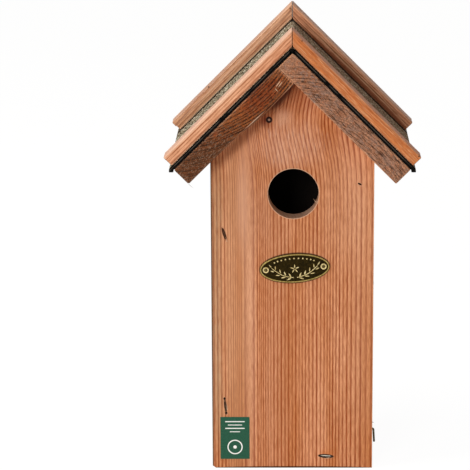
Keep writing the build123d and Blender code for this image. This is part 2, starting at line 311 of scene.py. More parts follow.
def late_wood(add, log, rings, look):
    """How strongly late wood shows, and the patches in which each line comes and goes along its length."""
    part = add("Math.FRACT", rings)
    year = add("Math.ADD", rings, look.seed)
    whole = add("Math.FLOOR", year)
    vigour = add("TexWhiteNoise.1D", W=whole)
    strength = add("MapRange", vigour, 0, 1, look.weakest * look.contrast, 1.15 * look.contrast)
    # Late wood darkens slowly through the year and stops short at its end.
    band = add("ValToRGB", part)
    band.color_ramp.interpolation = "EASE"
    stops = band.color_ramp.elements
    stops[0].color = (0.25, 0.25, 0.25, 1)
    stops[1].position = 0.1
    stops[1].color = (0, 0, 0, 1)
    for position, level in ((0.44, 0.04), (0.68, 0.45), (0.84, 1.0), (0.94, 0.75), (1.0, 0.25)):
        stops.new(position).color = (level, level, level, 1)
    along = look.breaks * 0.078
    patchy = stretched_noise(add, log, look.breaks, along, W=look.seed, Detail=2.0, Roughness=0.6)
    patches = add("MapRange", patchy, 0.32, 0.66, 0.62, 1.2)
    amount = add("Math.MULTIPLY", band, strength)
    return add("Math.MULTIPLY", amount, patches, use_clamp=True), patches


def long_grain(add, log, amount, fibre, look):
    """Early and late wood, with fibres, and with a tone that changes from part to part of the board."""
    tone = stretched_noise(add, log, 0.06, 0.006, W=look.seed + 3, Detail=2.0)
    toned = add("MapRange", tone, 0.36, 0.64, 0, 0.9)
    ground = add("Mix.RGBA", toned, look.early, look.shade)
    lines = add("Mix.RGBA", amount, ground, look.late)
    paleness = add("MapRange", fibre, 0.36, 0.64)
    dark, pale = (0.82, 0.72, 0.64, 1), (1.17, 1.22, 1.26, 1)
    fibres = add("Mix.RGBA", paleness, dark, pale)
    return add("Mix.RGBA", 1.0, lines, fibres, blend_type="MULTIPLY")


def sawn_end(add, mm, amount, pore, look):
    """End grain, with its rings, red and grey blots, and pores."""
    pores = add("MapRange", pore, 0.34, 0.66, 1 - 0.5 * look.pore_depth, 1 + 0.45 * look.pore_depth)
    blot = add("TexNoise", Vector=mm, Scale=0.33, Detail=2.0, Roughness=0.6)
    blots = add("SeparateColor", blot.outputs["Color"])
    red = add("MapRange", blots.outputs["Red"], 0.5, 0.7, 0, 0.7)
    grey = add("MapRange", blots.outputs["Green"], 0.48, 0.7, 0, 0.75)
    colour = add("Mix.RGBA", amount, look.end_early, look.end_late)
    colour = add("Mix.RGBA", red, colour, look.end_red)
    colour = add("Mix.RGBA", grey, colour, look.end_grey)
    return add("Mix.RGBA", 1.0, colour, pores, blend_type="MULTIPLY")


def bent_round_knot(add, place, centre, push, reach):
    """Bends the grain sideways as it passes a knot. All in millimetres."""
    near = add("Mapping.TEXTURE", Vector=place, Location=centre, Scale=reach)
    square = add("VectorMath.DOT_PRODUCT", near, near)
    fall = add("Math.MULTIPLY", square, -1.0)
    fall = add("Math.EXPONENT", fall)
    shift = add("Math.MULTIPLY", fall, push)
    side = add("CombineXYZ", X=shift)
    return add("VectorMath.ADD", place, side)


def reaches_from(add, mm, centre, reach, turn=0):
    """How many reaches a point lies from a centre, with a reach along each axis, turned about the y axis."""
    near = add("Mapping.TEXTURE", mm, centre, (0, radians(turn), 0), reach)
    return add("VectorMath.LENGTH", near)


def patch(add, mm, look, place, half_size, turn=0, y=None, deep=None):
    """How many half sizes a point lies from the middle of a patch. Its place and half size are x and z on the
    painted face of the board, or at a y of its own."""
    middle = (place[0], look.face if y is None else y, place[1])
    return reaches_from(add, mm, middle, (half_size[0], deep or look.deep, half_size[1]), turn)


def gap(add, value, level):
    """How far a value is from a level, above or below."""
    off = add("Math.SUBTRACT", value, level)
    return add("Math.ABSOLUTE", off)


def lines_faded(add, mm, amount, centre, reach):
    """Lets the late wood die away in a smooth patch beside a knot."""
    away = reaches_from(add, mm, centre, reach)
    keep = add("MapRange.SMOOTHSTEP", away, 0.3, 1.7, 0.5, 1)
    return add("Math.MULTIPLY", amount, keep)


def chamber_shade(add, mm, colour):
    """Painted shade on the faces of the boards inside the nest chamber, which shows dark through the hole."""
    size = add("VectorMath.ABSOLUTE", mm)
    parts = add("SeparateXYZ", size)
    x, y, z = parts.outputs
    wide = add("Math.MAXIMUM", x, y)
    slope = add("Math.ADD", x, z)
    inside = add("Math.LESS_THAN", wide, WIDTH / 2 - BOARD + 0.4)
    above = add("Math.GREATER_THAN", z, BOARD - 0.5)
    under = add("Math.LESS_THAN", slope, PEAK + 0.5)
    both = add("Math.MULTIPLY", inside, above)
    all_three = add("Math.MULTIPLY", both, under)
    return add("Mix.RGBA", all_three, colour, "#1E140E")


def stain_and_shade(hex_colour, place, half_size, strength, inner=0.3, outer=1.0, streaks=0.0, blend="MIX", **spot):
    """A soft patch of another colour, of full strength up to an inner share of its size and gone at the outer
    share. Streaks break it along the grain."""
    def coat(add, mm, colour, fibre, look):
        away = patch(add, mm, look, place, half_size, **spot)
        here = add("MapRange.SMOOTHSTEP", away, outer, inner, 0, strength)
        if streaks:
            torn = add("MapRange", fibre, 0.5 - 0.5 / streaks, 0.5 + 0.5 / streaks)
            here = add("Math.MULTIPLY", here, torn)
        return add("Mix.RGBA", here, colour, hex_colour, blend_type=blend)
    return coat


def dashes(hex_colour, place, half_size, length, width, strength, turn, seed=0, level=0.54, **spot):
    """Short torn marks of another colour, of a length and width in millimetres, in a soft-edged patch."""
    def coat(add, mm, colour, fibre, look):
        away = patch(add, mm, look, place, half_size, turn, **spot)
        here = add("MapRange.SMOOTHSTEP", away, 1, 0.6, 0, strength)
        drawn = add("Mapping.TEXTURE", mm, Rotation=(0, radians(turn), 0), Scale=(width, width, length))
        marks = add("TexNoise.4D", Vector=drawn, W=seed, Scale=1.0, Detail=3.0, Roughness=0.6)
        marks = add("MapRange", marks, level, level + 0.12)
        return add("Mix.RGBA", add("Math.MULTIPLY", here, marks), colour, hex_colour)
    return coat


def ring_mark(hex_colour, place, radius, width, strength):
    """A thin ring on the front face, such as the bark round a knot, or painted highlight on a drilled hole's
    rim.
    """
    def coat(add, mm, colour, fibre, look):
        away = add("VectorMath.SUBTRACT", mm, (place[0], 0, place[1]))
        flat = add("VectorMath.MULTIPLY", away, (1, 0, 1))
        off = gap(add, add("VectorMath.LENGTH", flat), radius)
        here = add("MapRange.SMOOTHSTEP", off, width, width * 0.3, 0, strength)
        return add("Mix.RGBA", here, colour, hex_colour)
    return coat


FRONT_PAINT = (
    # Grey weathered bands down the left edge, with two dark lines
    stain_and_shade("#AC9474", (-67.5, 150), (6.5, 120), 0.75, 0.2, 1.1, streaks=1.3),
    stain_and_shade("#B09472", (-66.5, 250), (7.5, 60), 0.65, 0.3, 1.1, streaks=1.3),
    stain_and_shade("#AE9470", (-66.5, 60), (6.5, 60), 0.6, 0.2, 1.1, streaks=1.3),
    stain_and_shade("#6A4A30", (-70.2, 180), (0.9, 170), 0.6, 0.2, streaks=2.5),
    stain_and_shade("#6E4A30", (-63.5, 200), (0.7, 130), 0.55, 0.2, streaks=2.5),
    # Long pale and red bands
    stain_and_shade("#C4906A", (-51, 170), (14, 260), 0.45, 0.4, 1.1),
    stain_and_shade("#A8623A", (-14, 130), (17, 250), 0.3, 0.4, 1.1),
    stain_and_shade("#E4AE8C", (-37.6, 170), (8.2, 290), 0.8, 0, 1.1, streaks=0.9),
    stain_and_shade("#C07446", (-47.5, 160), (4, 240), 0.35, 0.2, streaks=1.5),
    # The smooth patch beside the knot, and painted shadow of the roof board above it
    stain_and_shade("#D0A084", (-8, 325), (11, 11), 0.5, 0.1, 1.1),
    dashes("#A8603A", (-8, 325), (13, 12), 4, 0.8, 0.6, 25),
    stain_and_shade("#AD7C74", (-24, 322), (8, 10), 0.7, 0.1, blend="MULTIPLY"),
    # Painted shadow of the left roof board on the panel, under the ridge on the left, with dark streaks along
    # it
    stain_and_shade("#6A3418", (-12, 344.5), (6, 30), 0.95, 0.45, 1.1, blend="MULTIPLY", turn=45, deep=60),
    stain_and_shade("#5A3220", (-10.5, 339.6), (3.4, 17), 0.75, 0.2, 1.1, turn=43, deep=3),
    dashes("#8A5A40", (-10.5, 338), (5, 18), 12, 0.8, 0.6, 42, seed=17, level=0.52, deep=3),
    # Worn wood above, left and right of the hole, and in it
    stain_and_shade("#E8B69C", (-4, 298), (40, 26), 0.5, 0.2, 1.1, streaks=1.2),
    dashes("#ECC4AA", (-2, 302), (42, 26), 12, 0.7, 0.4, 0, seed=22),
    dashes("#96502C", (-2, 302), (42, 26), 12, 0.6, 0.4, 0, seed=25),
    # Painted shade at the top of the panel, under the ridge
    stain_and_shade("#D4C0B6", (2, 344), (26, 20), 0.6, 0.4, 1.1, blend="MULTIPLY"),
    # More worn wood left and right of the hole, and in it
    stain_and_shade("#E2AA8A", (-26, 240), (14, 50), 0.3, 0.2, 1.1, streaks=1.2),
    stain_and_shade("#E8B090", (-44, 250), (8, 66), 0.45, 0.1, 1.1),
    stain_and_shade("#EAB28E", (46, 250), (26, 76), 0.5, 0.3, 1.1, streaks=1.3),
    stain_and_shade("#C8AC98", (15, 240.5), (11, 10), 0.6, 0.3, 1.1, y=-61, deep=10),
    stain_and_shade("#D69A74", (62, 175), (13, 200), 0.45, 0.3, 1.1, streaks=0.9),
    # Shade along the left slope, round the plate, and at the foot and the left arris
    stain_and_shade("#C0A896", (-47, 302), (6.5, 46), 0.6, 0.1, blend="MULTIPLY", turn=45, deep=60),
    stain_and_shade("#2A1A0C", (PLATE_X, PLATE_Z), (32.6, 14.5), 0.85, 0.95, turn=PLATE_TILT, deep=3),
    stain_and_shade("#2C170C", (0, 0), (76, 1.6), 0.9, 0.8, 1.1),
    stain_and_shade("#46301F", (-72.6, 150), (1.7, 290), 0.85, 0.6, 1.1),
    # The knot with its bark
    ring_mark("#1E0D06", KNOT, 1.85, 1.65, 1.0),
    stain_and_shade("#B39380", KNOT, (1.2, 1.2), 0.9, 0.3, 1.2),
    # Rust, dirt and painted shade in the dents round the staples and the pivot nail
    stain_and_shade("#3B1C0D", (STAPLE_X, UPPER_STAPLE_Z), (2.6, 8.2), 0.95, 0.75, turn=-17, y=FACE + 2.3,
          deep=2.1),
    stain_and_shade("#1C0D06", (STAPLE_X, LOWER_STAPLE_Z), (1.25, 7), 0.95, 0.8, 1.05, turn=-6, deep=3),
    stain_and_shade("#150A05", (-61.3, 66), (1.2, 1.4), 0.95, 0.7, 1.1, deep=3),
    stain_and_shade("#150A05", (-59.9, 52.2), (1.3, 1.5), 0.95, 0.7, 1.1, deep=3),
    stain_and_shade("#C8743C", (31, 13.5), (8.5, 5), 0.55, 0.2, 1.1, deep=3),
    stain_and_shade("#1E0F07", (FOOT_STAPLE_X, FOOT_STAPLE_Z), (7.8, 2.1), 0.95, 0.85, turn=4, deep=3),
    stain_and_shade("#33180B", (PIVOT_X, PIVOT_Z), (3, 1.6), 0.95, 0.75, turn=24, y=FACE + 2, deep=1.95),
    # A painted highlight along the broken rim of the hole
    ring_mark("#E0B898", (HOLE_X, HOLE_Z), HOLE_RADIUS + 0.3, 0.55, 0.6),
)
front_larch = larch(
    "oiled_larch_front", (-38.5, -70, 0), (0, 0, 0), late="#8A380A", wave=0.22, seed=4, contrast=1.2,
    weakest=0.6, end_early="#9C7862", end_late="#6E4A38", bend=((5, 0, 322), 9.6, (60, 900, 34.8)),
    fade=((-8, FACE, 325), (7, 40, 7)), face=FACE, deep=40,
    ring_table=((5.3, 2), (13, 6), (19.7, 9), (29.3, 12), (42.3, 16), (51, 19), (67.7, 24), (75.5, 27),
                (84.7, 30), (96.3, 33), (105.5, 35), (130, 40)), paint=FRONT_PAINT,
)
wall_larch = larch("oiled_larch_wall", (-60, 40, 0), (0, 0, 0), seed=11, wave=2)
back_larch = larch("oiled_larch_back", (25, 95, 0), (1, 0, 0), seed=17, wave=2)
door_larch = larch("oiled_larch_door", (90, -20, 0), (0, 0.6, 0), seed=23, wave=2)
floor_larch = larch("oiled_larch_floor", (0, 30, -20), (0, 90, 0), seed=29)

ROOF_LEFT_PAINT = (
    # Grey and dark weathering towards the eaves
    stain_and_shade("#A89C94", (-78, 288), (24, 62), 0.8, 0.5, 1.15, blend="MULTIPLY", turn=45),
    stain_and_shade("#563824", (-84, 282), (24, 50), 0.4, 0.4, 1.1, turn=45),
    dashes("#A68A74", (-80, 286), (22, 60), 2.4, 0.9, 0.5, 38, seed=2, level=0.53),
    dashes("#24120A", (-82, 284), (22, 60), 3, 0.9, 0.85, 40, seed=5),
    # Shade and red marks along the middle and under the ridge
    stain_and_shade("#9C8878", (-27, 329), (6, 60), 0.8, 0.3, 1.1, blend="MULTIPLY", turn=45),
    dashes("#B4602E", (-46, 332), (8, 46), 9, 0.8, 0.4, 45, seed=3, level=0.52),
    stain_and_shade("#C4988A", (-26, 350), (14, 30), 0.8, 0.4, 1.1, blend="MULTIPLY", turn=45),
    dashes("#9A6A48", (-24, 352), (13, 26), 8, 0.7, 0.6, 40, seed=19, level=0.55),
    stain_and_shade("#B0562A", (-67, 315.8), (2.2, 5), 0.35, 0, turn=45),
    # Pale and dark splinters
    stain_and_shade("#E8C8A6", (-12.3, 360.3), (0.42, 4.6), 0.9, turn=36),
    stain_and_shade("#E8C8A6", (-10.4, 359.8), (0.42, 4), 0.85, turn=36),
    stain_and_shade("#E0BC98", (-13.8, 355), (0.4, 2.4), 0.8, turn=-38),
    stain_and_shade("#2B150A", (-18, 347.5), (0.55, 2.4), 0.85, turn=-44),
    stain_and_shade("#D6B296", (-32.5, 328.5), (0.5, 15), 0.75, turn=47),
)
roof_left_larch = larch(
    "oiled_larch_roof_left", (-111, 0, 444), (90, 0, 0), seed=31, ring_width=2.6, wave=1.3, contrast=1.7,
    weakest=0.6, breaks=0.1, pore_depth=1.05, end_early="#9A5A30", end_late="#2A1207", end_red="#A2501F",
    end_grey="#74503A", paint=ROOF_LEFT_PAINT,
)

ROOF_RIGHT_PAINT = (
    # Long torn marks down the slope
    dashes("#8C7468", (50, 326), (16, 90), 9, 5, 0.4, -45, seed=21, level=0.5),
    dashes("#2A140B", (58, 318), (16, 84), 11, 0.9, 0.9, -44, seed=1, level=0.5),
    dashes("#B48C76", (62, 314), (16, 80), 4, 0.9, 0.6, -43, seed=7, level=0.56),
    # Flatter ones at the lapping end
    dashes("#2A140B", (14, 362), (24, 18), 12, 1.1, 0.95, -82, seed=9, level=0.51),
    dashes("#B0643A", (10, 366), (24, 18), 4, 1.6, 0.6, -80, seed=12),
    dashes("#8E7E78", (16, 358), (24, 18), 4, 1.4, 0.6, -78, seed=15, level=0.55),
    stain_and_shade("#3E2416", (22, 336), (0.9, 26), 0.7, turn=-45),
    stain_and_shade("#8A5234", (42, 333.5), (8, 6), 0.3, 0.2),
)
roof_right_larch = larch(
    "oiled_larch_roof_right", (8, 0, 240), (90, 0, 0), seed=37, ring_width=2.3, wave=2.4, contrast=0.9,
    end_early="#AA775A", end_late="#522E1A", end_red="#9E6040", end_grey="#8C7060", paint=ROOF_RIGHT_PAINT,
)

mitre = stain_and_shade("#2C160A", (0, 400), (0.75, 60), 0.85, y=0, deep=200)
FRONT_BATTEN_LEFT_PAINT = (
    mitre,
    dashes("#A85E38", (-60, 340), (16, 100), 26, 0.9, 0.45, 45, seed=2, deep=60),
    # A painted highlight along the upper arris
    stain_and_shade("#E2B698", (-60.1, 345.8), (1.35, 92), 0.75, 0.6, 1.05, turn=45, deep=4),
    stain_and_shade("#8A5034", (-59, 344.7), (0.4, 88), 0.6, streaks=1.5, turn=45, deep=4),
)

FRONT_BATTEN_RIGHT_PAINT = (
    mitre,
    dashes("#A8643C", (60, 340), (16, 100), 14, 1.1, 0.75, -45, seed=4, level=0.5, deep=60),
    dashes("#DDA274", (60, 340), (16, 100), 16, 1, 0.7, -45, seed=6, level=0.53, deep=60),
    stain_and_shade("#3A1B0C", (8.3, 397.7), (0.9, 0.9), 0.9, 0.2),
    stain_and_shade("#2A1208", (110, 296.3), (1, 1), 0.9),
    stain_and_shade("#A8532C", (58, 343), (0.8, 60), 0.5, 0.2, turn=-45, deep=30),
)

REAR_BATTEN_LEFT_PAINT = (
    mitre,
    dashes("#9A8058", (-58, 338), (6, 60), 18, 1.6, 0.5, 45, seed=13, level=0.5),
    dashes("#8A3E20", (-58, 342), (10, 100), 26, 0.8, 0.6, 45, seed=16, level=0.55),
    stain_and_shade("#F0BC98", (-55.3, 346.6), (1.2, 94), 0.75, 0.3, 1.1, turn=45),
    stain_and_shade("#CFC6C2", (-58, 349.3), (0.9, 100), 0.8, 0.5, 1.1, blend="MULTIPLY", turn=45,
          y=REAR + 10, deep=14),
    stain_and_shade("#F0CDAA", (-51.3, 342.6), (0.75, 98), 0.9, 0.5, turn=45, deep=3),
    stain_and_shade("#2A1208", (-77.9, 329), (1.2, 1.2), 0.9),
    stain_and_shade("#2A1208", (-1.9, 402.4), (1, 1.4), 0.9),
)

REAR_BATTEN_RIGHT_PAINT = (
    mitre,
    dashes("#D89E7A", (58, 344), (16, 100), 14, 1.2, 0.6, -45, seed=3, level=0.52, deep=60),
    dashes("#7A3A20", (58, 344), (16, 100), 16, 1.2, 0.5, -45, seed=8, deep=60),
    # A painted highlight along the upper arris
    stain_and_shade("#E8A880", (57.4, 348.7), (1.3, 92), 0.5, 0.3, 1.1, turn=-45, deep=6),
    stain_and_shade("#7E3E20", (66.6, 328.1), (3.4, 84), 0.75, 0.75, 1.05, turn=-45, deep=12),
    stain_and_shade("#6A4A28", (55.9, 345.4), (0.9, 90), 0.7, turn=-45, deep=12),
    stain_and_shade("#D9A884", (55, 344.5), (0.6, 90), 0.6, turn=-45, deep=12),
)

batten_larch = {
    "front_batten_left": larch(
        "oiled_larch_batten_a", (-60, -92, 318), (0, 45, 0), early="#E6AE88", late="#93502C", shade="#D2906A",
        ring_width=2.3, seed=41, wave=0.6, bleach=0.5, paint=FRONT_BATTEN_LEFT_PAINT,
    ),
    "front_batten_right": larch(
        "oiled_larch_batten_b", (60, -92, 318), (0, -45, 0), early="#C67641", late="#A0562C", shade="#BA6A38",
        seed=43, wave=0.8, contrast=0.6, bleach=0.12, paint=FRONT_BATTEN_RIGHT_PAINT,
    ),
    "rear_batten_left": larch(
        "oiled_larch_batten_c", (-60, 62, 322), (0, 45, 0), early="#DCA680", late="#7C3F20", shade="#C08A64",
        ring_width=2.4, seed=47, wave=0.6, contrast=1.1, bleach=0.3, face=REAR, paint=REAR_BATTEN_LEFT_PAINT,
    ),
    "rear_batten_right": larch(
        "oiled_larch_batten_d", (60, 62, 322), (0, -45, 0), early="#DE9E78", late="#74361A", shade="#C28460",
        ring_width=2.2, seed=53, wave=0.6, contrast=1.35, bleach=0.32, face=REAR,
        paint=REAR_BATTEN_RIGHT_PAINT,
    ),
}


# Modelling helpers

def on_slope(side, along, above):
    """x and z in millimetres of a point on the roof: down the slope from the ridge, and above the boards."""
    return side * (along + above) * HALF, RIDGE + (above - along) * HALF


def only(piece):
    """Makes one piece the active and only selected object."""
    bpy.ops.object.select_all(action="DESELECT")
    piece.select_set(True)
    bpy.context.view_layer.objects.active = piece


def settle(scale=(1, 1, 1)):
    """Gives the active piece its proportions, and settles them, its turn and its place into its mesh."""
    piece = bpy.context.object
    piece.scale = scale
    bpy.ops.object.transform_apply(location=True, rotation=True, scale=True)
    return piece


def edit():
    """Starts edit mode on the active piece."""
    bpy.ops.object.mode_set(mode="EDIT")


def select_all():
    """Selects all of the piece in edit mode."""
    bpy.ops.mesh.select_all(action="SELECT")


def end_edit(close=True):
    """Ends edit mode, and first turns all faces outwards where the piece is closed."""
    if close:
        select_all()
        bpy.ops.mesh.normals_make_consistent(inside=False)
    bpy.ops.object.mode_set(mode="OBJECT")


def block(name, size, place, turn=0):
    """A rough block at its size and place in millimetres, turned about the y axis and left in edit mode."""
    bpy.ops.mesh.primitive_cube_add(size=MM, location=metres(*place), rotation=(0, radians(turn), 0))
    piece = settle(size)
    piece.name = name
    edit()
    return piece


def forward(*place):
    """Where a primitive that faces the front is added, in millimetres."""
    return {"location": metres(*place), "rotation": (radians(90), 0, 0)}


def disc(name, vertices, radius, place=(0, 0, 0), scale=(1, 1, 1)):
    """A flat disc that faces the front, its radius and place in millimetres, left in edit mode."""
    bpy.ops.mesh.primitive_circle_add(
        vertices=vertices, radius=radius * MM, fill_type="NGON", **forward(*place))
    piece = settle(scale)
    piece.name = name
    edit()
    select_all()
    return piece


def pull(x, y, z):
    """Extrudes what is selected by a distance in millimetres."""
    bpy.ops.mesh.extrude_region_move(TRANSFORM_OT_translate={"value": metres(x, y, z)})


def inset(thickness, depth=0.0):
    """Insets the selected faces, in millimetres."""
    bpy.ops.mesh.inset(thickness=thickness * MM, depth=depth * MM)


def stretch(scale, centre):
    """Scales what is selected about a centre in millimetres."""
    bpy.ops.transform.resize(value=scale, center_override=metres(*centre))


def choose(piece, kind, test):
    """Selects faces, edges or verts in edit mode by a test of the middle in millimetres and the part."""
    bpy.ops.mesh.select_mode(type={"faces": "FACE", "edges": "EDGE", "verts": "VERT"}[kind])
    bpy.ops.mesh.select_all(action="DESELECT")
    form = bmesh.from_edit_mesh(piece.data)
    for part in getattr(form, kind):
        middle = part.co if kind == "verts" else sum((v.co for v in part.verts), Vector()) / len(part.verts)
        part.select_set(bool(test(middle / MM, part)))
    form.select_flush_mode()
    bmesh.update_edit_mesh(piece.data)


def saw(place, normal, off=None):
    """One straight cut in edit mode. The side named by off falls away and the cut is closed."""
    select_all()
    sides = {"clear_outer": off == "outer", "clear_inner": off == "inner", "use_fill": bool(off)}
    bpy.ops.mesh.bisect(plane_co=metres(*place), plane_no=normal, **sides)


def divide(start, direction, length, step):
    """Marks cross lines on a piece at even steps, so that its arrises can wander."""
    for k in range(1, int(length / step)):
        saw([s + d * k * step for s, d in zip(start, direction)], direction)


def round_edges(offset, **settings):
    """Rounds the selected edges by an offset in millimetres."""
    bpy.ops.mesh.bevel(**{"offset": offset * MM, "segments": 2, "affect": "EDGES", **settings})


def round_sharp(offset, angle):
    """Rounds all edges of the piece in edit mode that are sharper than an angle in degrees."""
    bpy.ops.mesh.select_mode(type="EDGE")
    bpy.ops.mesh.select_all(action="DESELECT")
    bpy.ops.mesh.edges_select_sharp(sharpness=radians(angle))
    round_edges(offset)


def modify(piece, kind, **settings):
    """Applies a modifier of a kind, with its settings, to the active piece."""
    modifier = piece.modifiers.new(kind, kind)
    for name, value in settings.items():
        setattr(modifier, name, value)
    bpy.ops.object.modifier_apply(modifier=modifier.name)


saw_marks = bpy.data.textures.new("saw_marks", "CLOUDS")
saw_marks.noise_scale = 0.009
saw_marks.noise_depth = 3


def wander(piece, depth):
    """Lets the arrises just rounded wander a little, as on rough-sawn wood. Ends edit mode."""
    bpy.ops.mesh.select_less()
    bpy.ops.object.vertex_group_assign_new()
    bpy.ops.object.mode_set(mode="OBJECT")
    group = piece.vertex_groups[0].name
    way = {"texture": saw_marks, "texture_coords": "GLOBAL", "vertex_group": group}
    modify(piece, "DISPLACE", strength=2 * depth * MM, mid_level=0.95, **way)


def cut_away(piece, cutter):
    """Takes one shape out of another."""
    only(piece)
    modify(piece, "BOOLEAN", operation="DIFFERENCE", solver="EXACT", object=cutter)
    bpy.data.objects.remove(cutter)


def joined(pieces, name):
    """Joins pieces into one object."""
    bpy.ops.object.select_all(action="DESELECT")
    for piece in pieces:
        piece.select_set(True)
    bpy.context.view_layer.objects.active = pieces[0]
    bpy.ops.object.join()
    pieces[0].name = name
    return pieces[0]


def dress(piece, body, slot, finish, *nodes, angle=35):
    """Gives a finished piece its shading, finish and body, and hides the CAD nodes that it stands for."""
    only(piece)
    bpy.ops.object.shade_smooth_by_angle(angle=radians(angle))
    modify(piece, "WEIGHTED_NORMAL", keep_sharp=True, weight=100)
    piece.data.materials.clear()
    piece.data.materials.append(finish)
    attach(piece, body)
    if nodes:
        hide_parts(*nodes)
    piece.select_set(False)
    return piece


# Front panel

front = block("front_board", (WIDTH, BOARD, PEAK), (0, PANEL_MIDDLE, PEAK / 2))
for side in (1, -1):
    saw((0, 0, PEAK), (side * HALF, 0, HALF), "outer")
# A corner 3 mm wide is chipped off the foot.
saw((LEFT + 3, 0, 0), (-0.591, 0, -0.806), "outer")
end_edit(close=False)
entrance = forward(HOLE_X, PANEL_MIDDLE, HOLE_Z)
bpy.ops.mesh.primitive_cylinder_add(vertices=96, radius=HOLE_RADIUS * MM, depth=30 * MM, **entrance)
cut_away(front, settle())

# Dents round the staples and the pivot nail, and one in the right edge: x, depth of the middle, z, half
# sizes, turn
for x, depth, z, half_sizes, turn in (
    (STAPLE_X, -0.2, UPPER_STAPLE_Z, (1.5, 2.2, 7.3), -17),
    (STAPLE_X, 0.1, LOWER_STAPLE_Z, (0.95, 1.6, 7), -6),
    (-61.3, -0.1, 66.1, (1.15, 2.2, 1.3), 0),
    (-59.9, -0.1, 52.1, (1.3, 2.2, 1.4), 0),
    (FOOT_STAPLE_X, -0.2, FOOT_STAPLE_Z, (7.3, 2.1, 1.9), 4),
    (PIVOT_X, -0.1, PIVOT_Z, (2.1, 2, 0.85), 24),
    (73.2, -0.4, 174.8, (1.3, 1.6, 1.9), 0),
):
    spot = {"location": metres(x, FACE + depth, z), "rotation": (0, radians(turn), 0)}
    bpy.ops.mesh.primitive_uv_sphere_add(segments=16, ring_count=10, radius=MM, **spot)
    cut_away(front, settle(half_sizes))
edit()
divide((0, 0, 0), (0, 0, 1), 350, 10)


def on_face(middle, within):
    """Whether a point lies on the front or back of the panel."""
    return abs(abs(middle.y - PANEL_MIDDLE) - BOARD / 2) < within


def hole_rim(middle, edge):
    away = Vector((middle.x - HOLE_X, middle.z - HOLE_Z)).length
    return abs(away - HOLE_RADIUS) < 1 and on_face(middle, 0.2)


def outer_arris(middle, edge):
    if not edge.is_boundary and edge.calc_face_angle(0) < radians(30):
        return False
    side = abs(abs(middle.x) - WIDTH / 2) < 0.2
    foot = middle.z < 0.1
    gable = abs(abs(middle.x) + middle.z - PEAK) < 0.2
    return (on_face(middle, 0.05) and (side or foot or gable)) or (side and (foot or gable))


choose(front, "edges", hole_rim)
round_edges(0.45)
choose(front, "edges", outer_arris)
round_edges(1.1, clamp_overlap=True)
wander(front, 0.35)
dress(front, "box", "front_panel_wood", front_larch, "front_panel", angle=25)


# Roof boards, felt and battens

# How far the lower front arris of the left board sags, at each 5 mm from its top end
SAG = (2.4, 2.5, 2.65, 2.8, 2.9, 3.1, 3.25, 3.4, 3.3, 2.9, 2.3, 1.6, 1.05, 0.6, 0.25)
for side, name, node_name, start, finish in (
    (-1, "lower_roof_board", "roof_board_left", BOARD, roof_left_larch),
    (1, "lapping_roof_board", "roof_board_right", 0, roof_right_larch),
):
    length = ROOF_RUN - start
    x, z = on_slope(side, start + length / 2, -BOARD / 2)
    board = block(name, (length, ROOF_DEPTH, BOARD), (x, ROOF_MIDDLE, z), side * PITCH)
    x, z = on_slope(side, start, -BOARD / 2)
    if side < 0:
        # Only the overhang sags, up to this line.
        saw((0, FACE - 0.5, 0), (0, 1, 0))
    divide((x, ROOF_MIDDLE, z), (side * HALF, 0, -HALF), length, 5)
    if side < 0:
        # There the log's own curve was left on.
        for k, drop in enumerate(SAG):
            x, z = on_slope(side, start + 5 * k, -BOARD)
            choose(board, "verts", lambda middle, vert: (middle - Vector((x, ROOF_FRONT, z))).length < 0.5)
            bpy.ops.transform.translate(value=(drop * HALF * MM, 0, -drop * HALF * MM))
    round_sharp(0.9, 30)
    wander(board, 0.4)
    dress(board, "box", node_name + "_wood", finish, node_name)

# The felt is one strip, drawn up one slope, folded over the ridge and down the other. Its lips turn down.
EAVE = FELT_LEFT + FELT / 2
LIP_BEND, LIP_DROP = 2.5, 1.6
lip = [(EAVE, FELT_FOOT)]
for angle in (180, 157.5, 135):
    x = EAVE + LIP_BEND + LIP_BEND * cos(radians(angle))
    z = FELT_FOOT + LIP_DROP + LIP_BEND * sin(radians(angle))
    lip.append((round(x, 2), round(z, 2)))
rise = [on_slope(-1, along, FELT / 2) for along in range(138, 3, -9)]
fold = [(-1.6, 388.55), (-0.8, 389.2), (0, 389.45)]
left_half = lip + rise + fold
course = left_half + [(-x, z) for x, z in reversed(left_half[:-1])]
(foot_x, foot_z), (_, top_z) = course[:2]
start = {"location": metres(foot_x, ROOF_MIDDLE, (foot_z + top_z) / 2), "rotation": (0, radians(90), 0)}
bpy.ops.mesh.primitive_plane_add(size=MM, **start)
felt = settle((top_z - foot_z, ROOF_DEPTH, 1))
felt.name = "mineral_felt_strip"
edit()
choose(felt, "edges", lambda middle, edge: middle.z > top_z - 0.05)
for (x0, z0), (x1, z1) in zip(course[1:], course[2:]):
    pull(x1 - x0, 0, z1 - z0)
select_all()
bpy.ops.mesh.remove_doubles(threshold=0.01 * MM)
end_edit()
modify(felt, "SOLIDIFY", thickness=(FELT - 0.04) * MM, offset=0.0, use_even_offset=True)
edit()
round_sharp(0.5, 50)
end_edit(close=False)

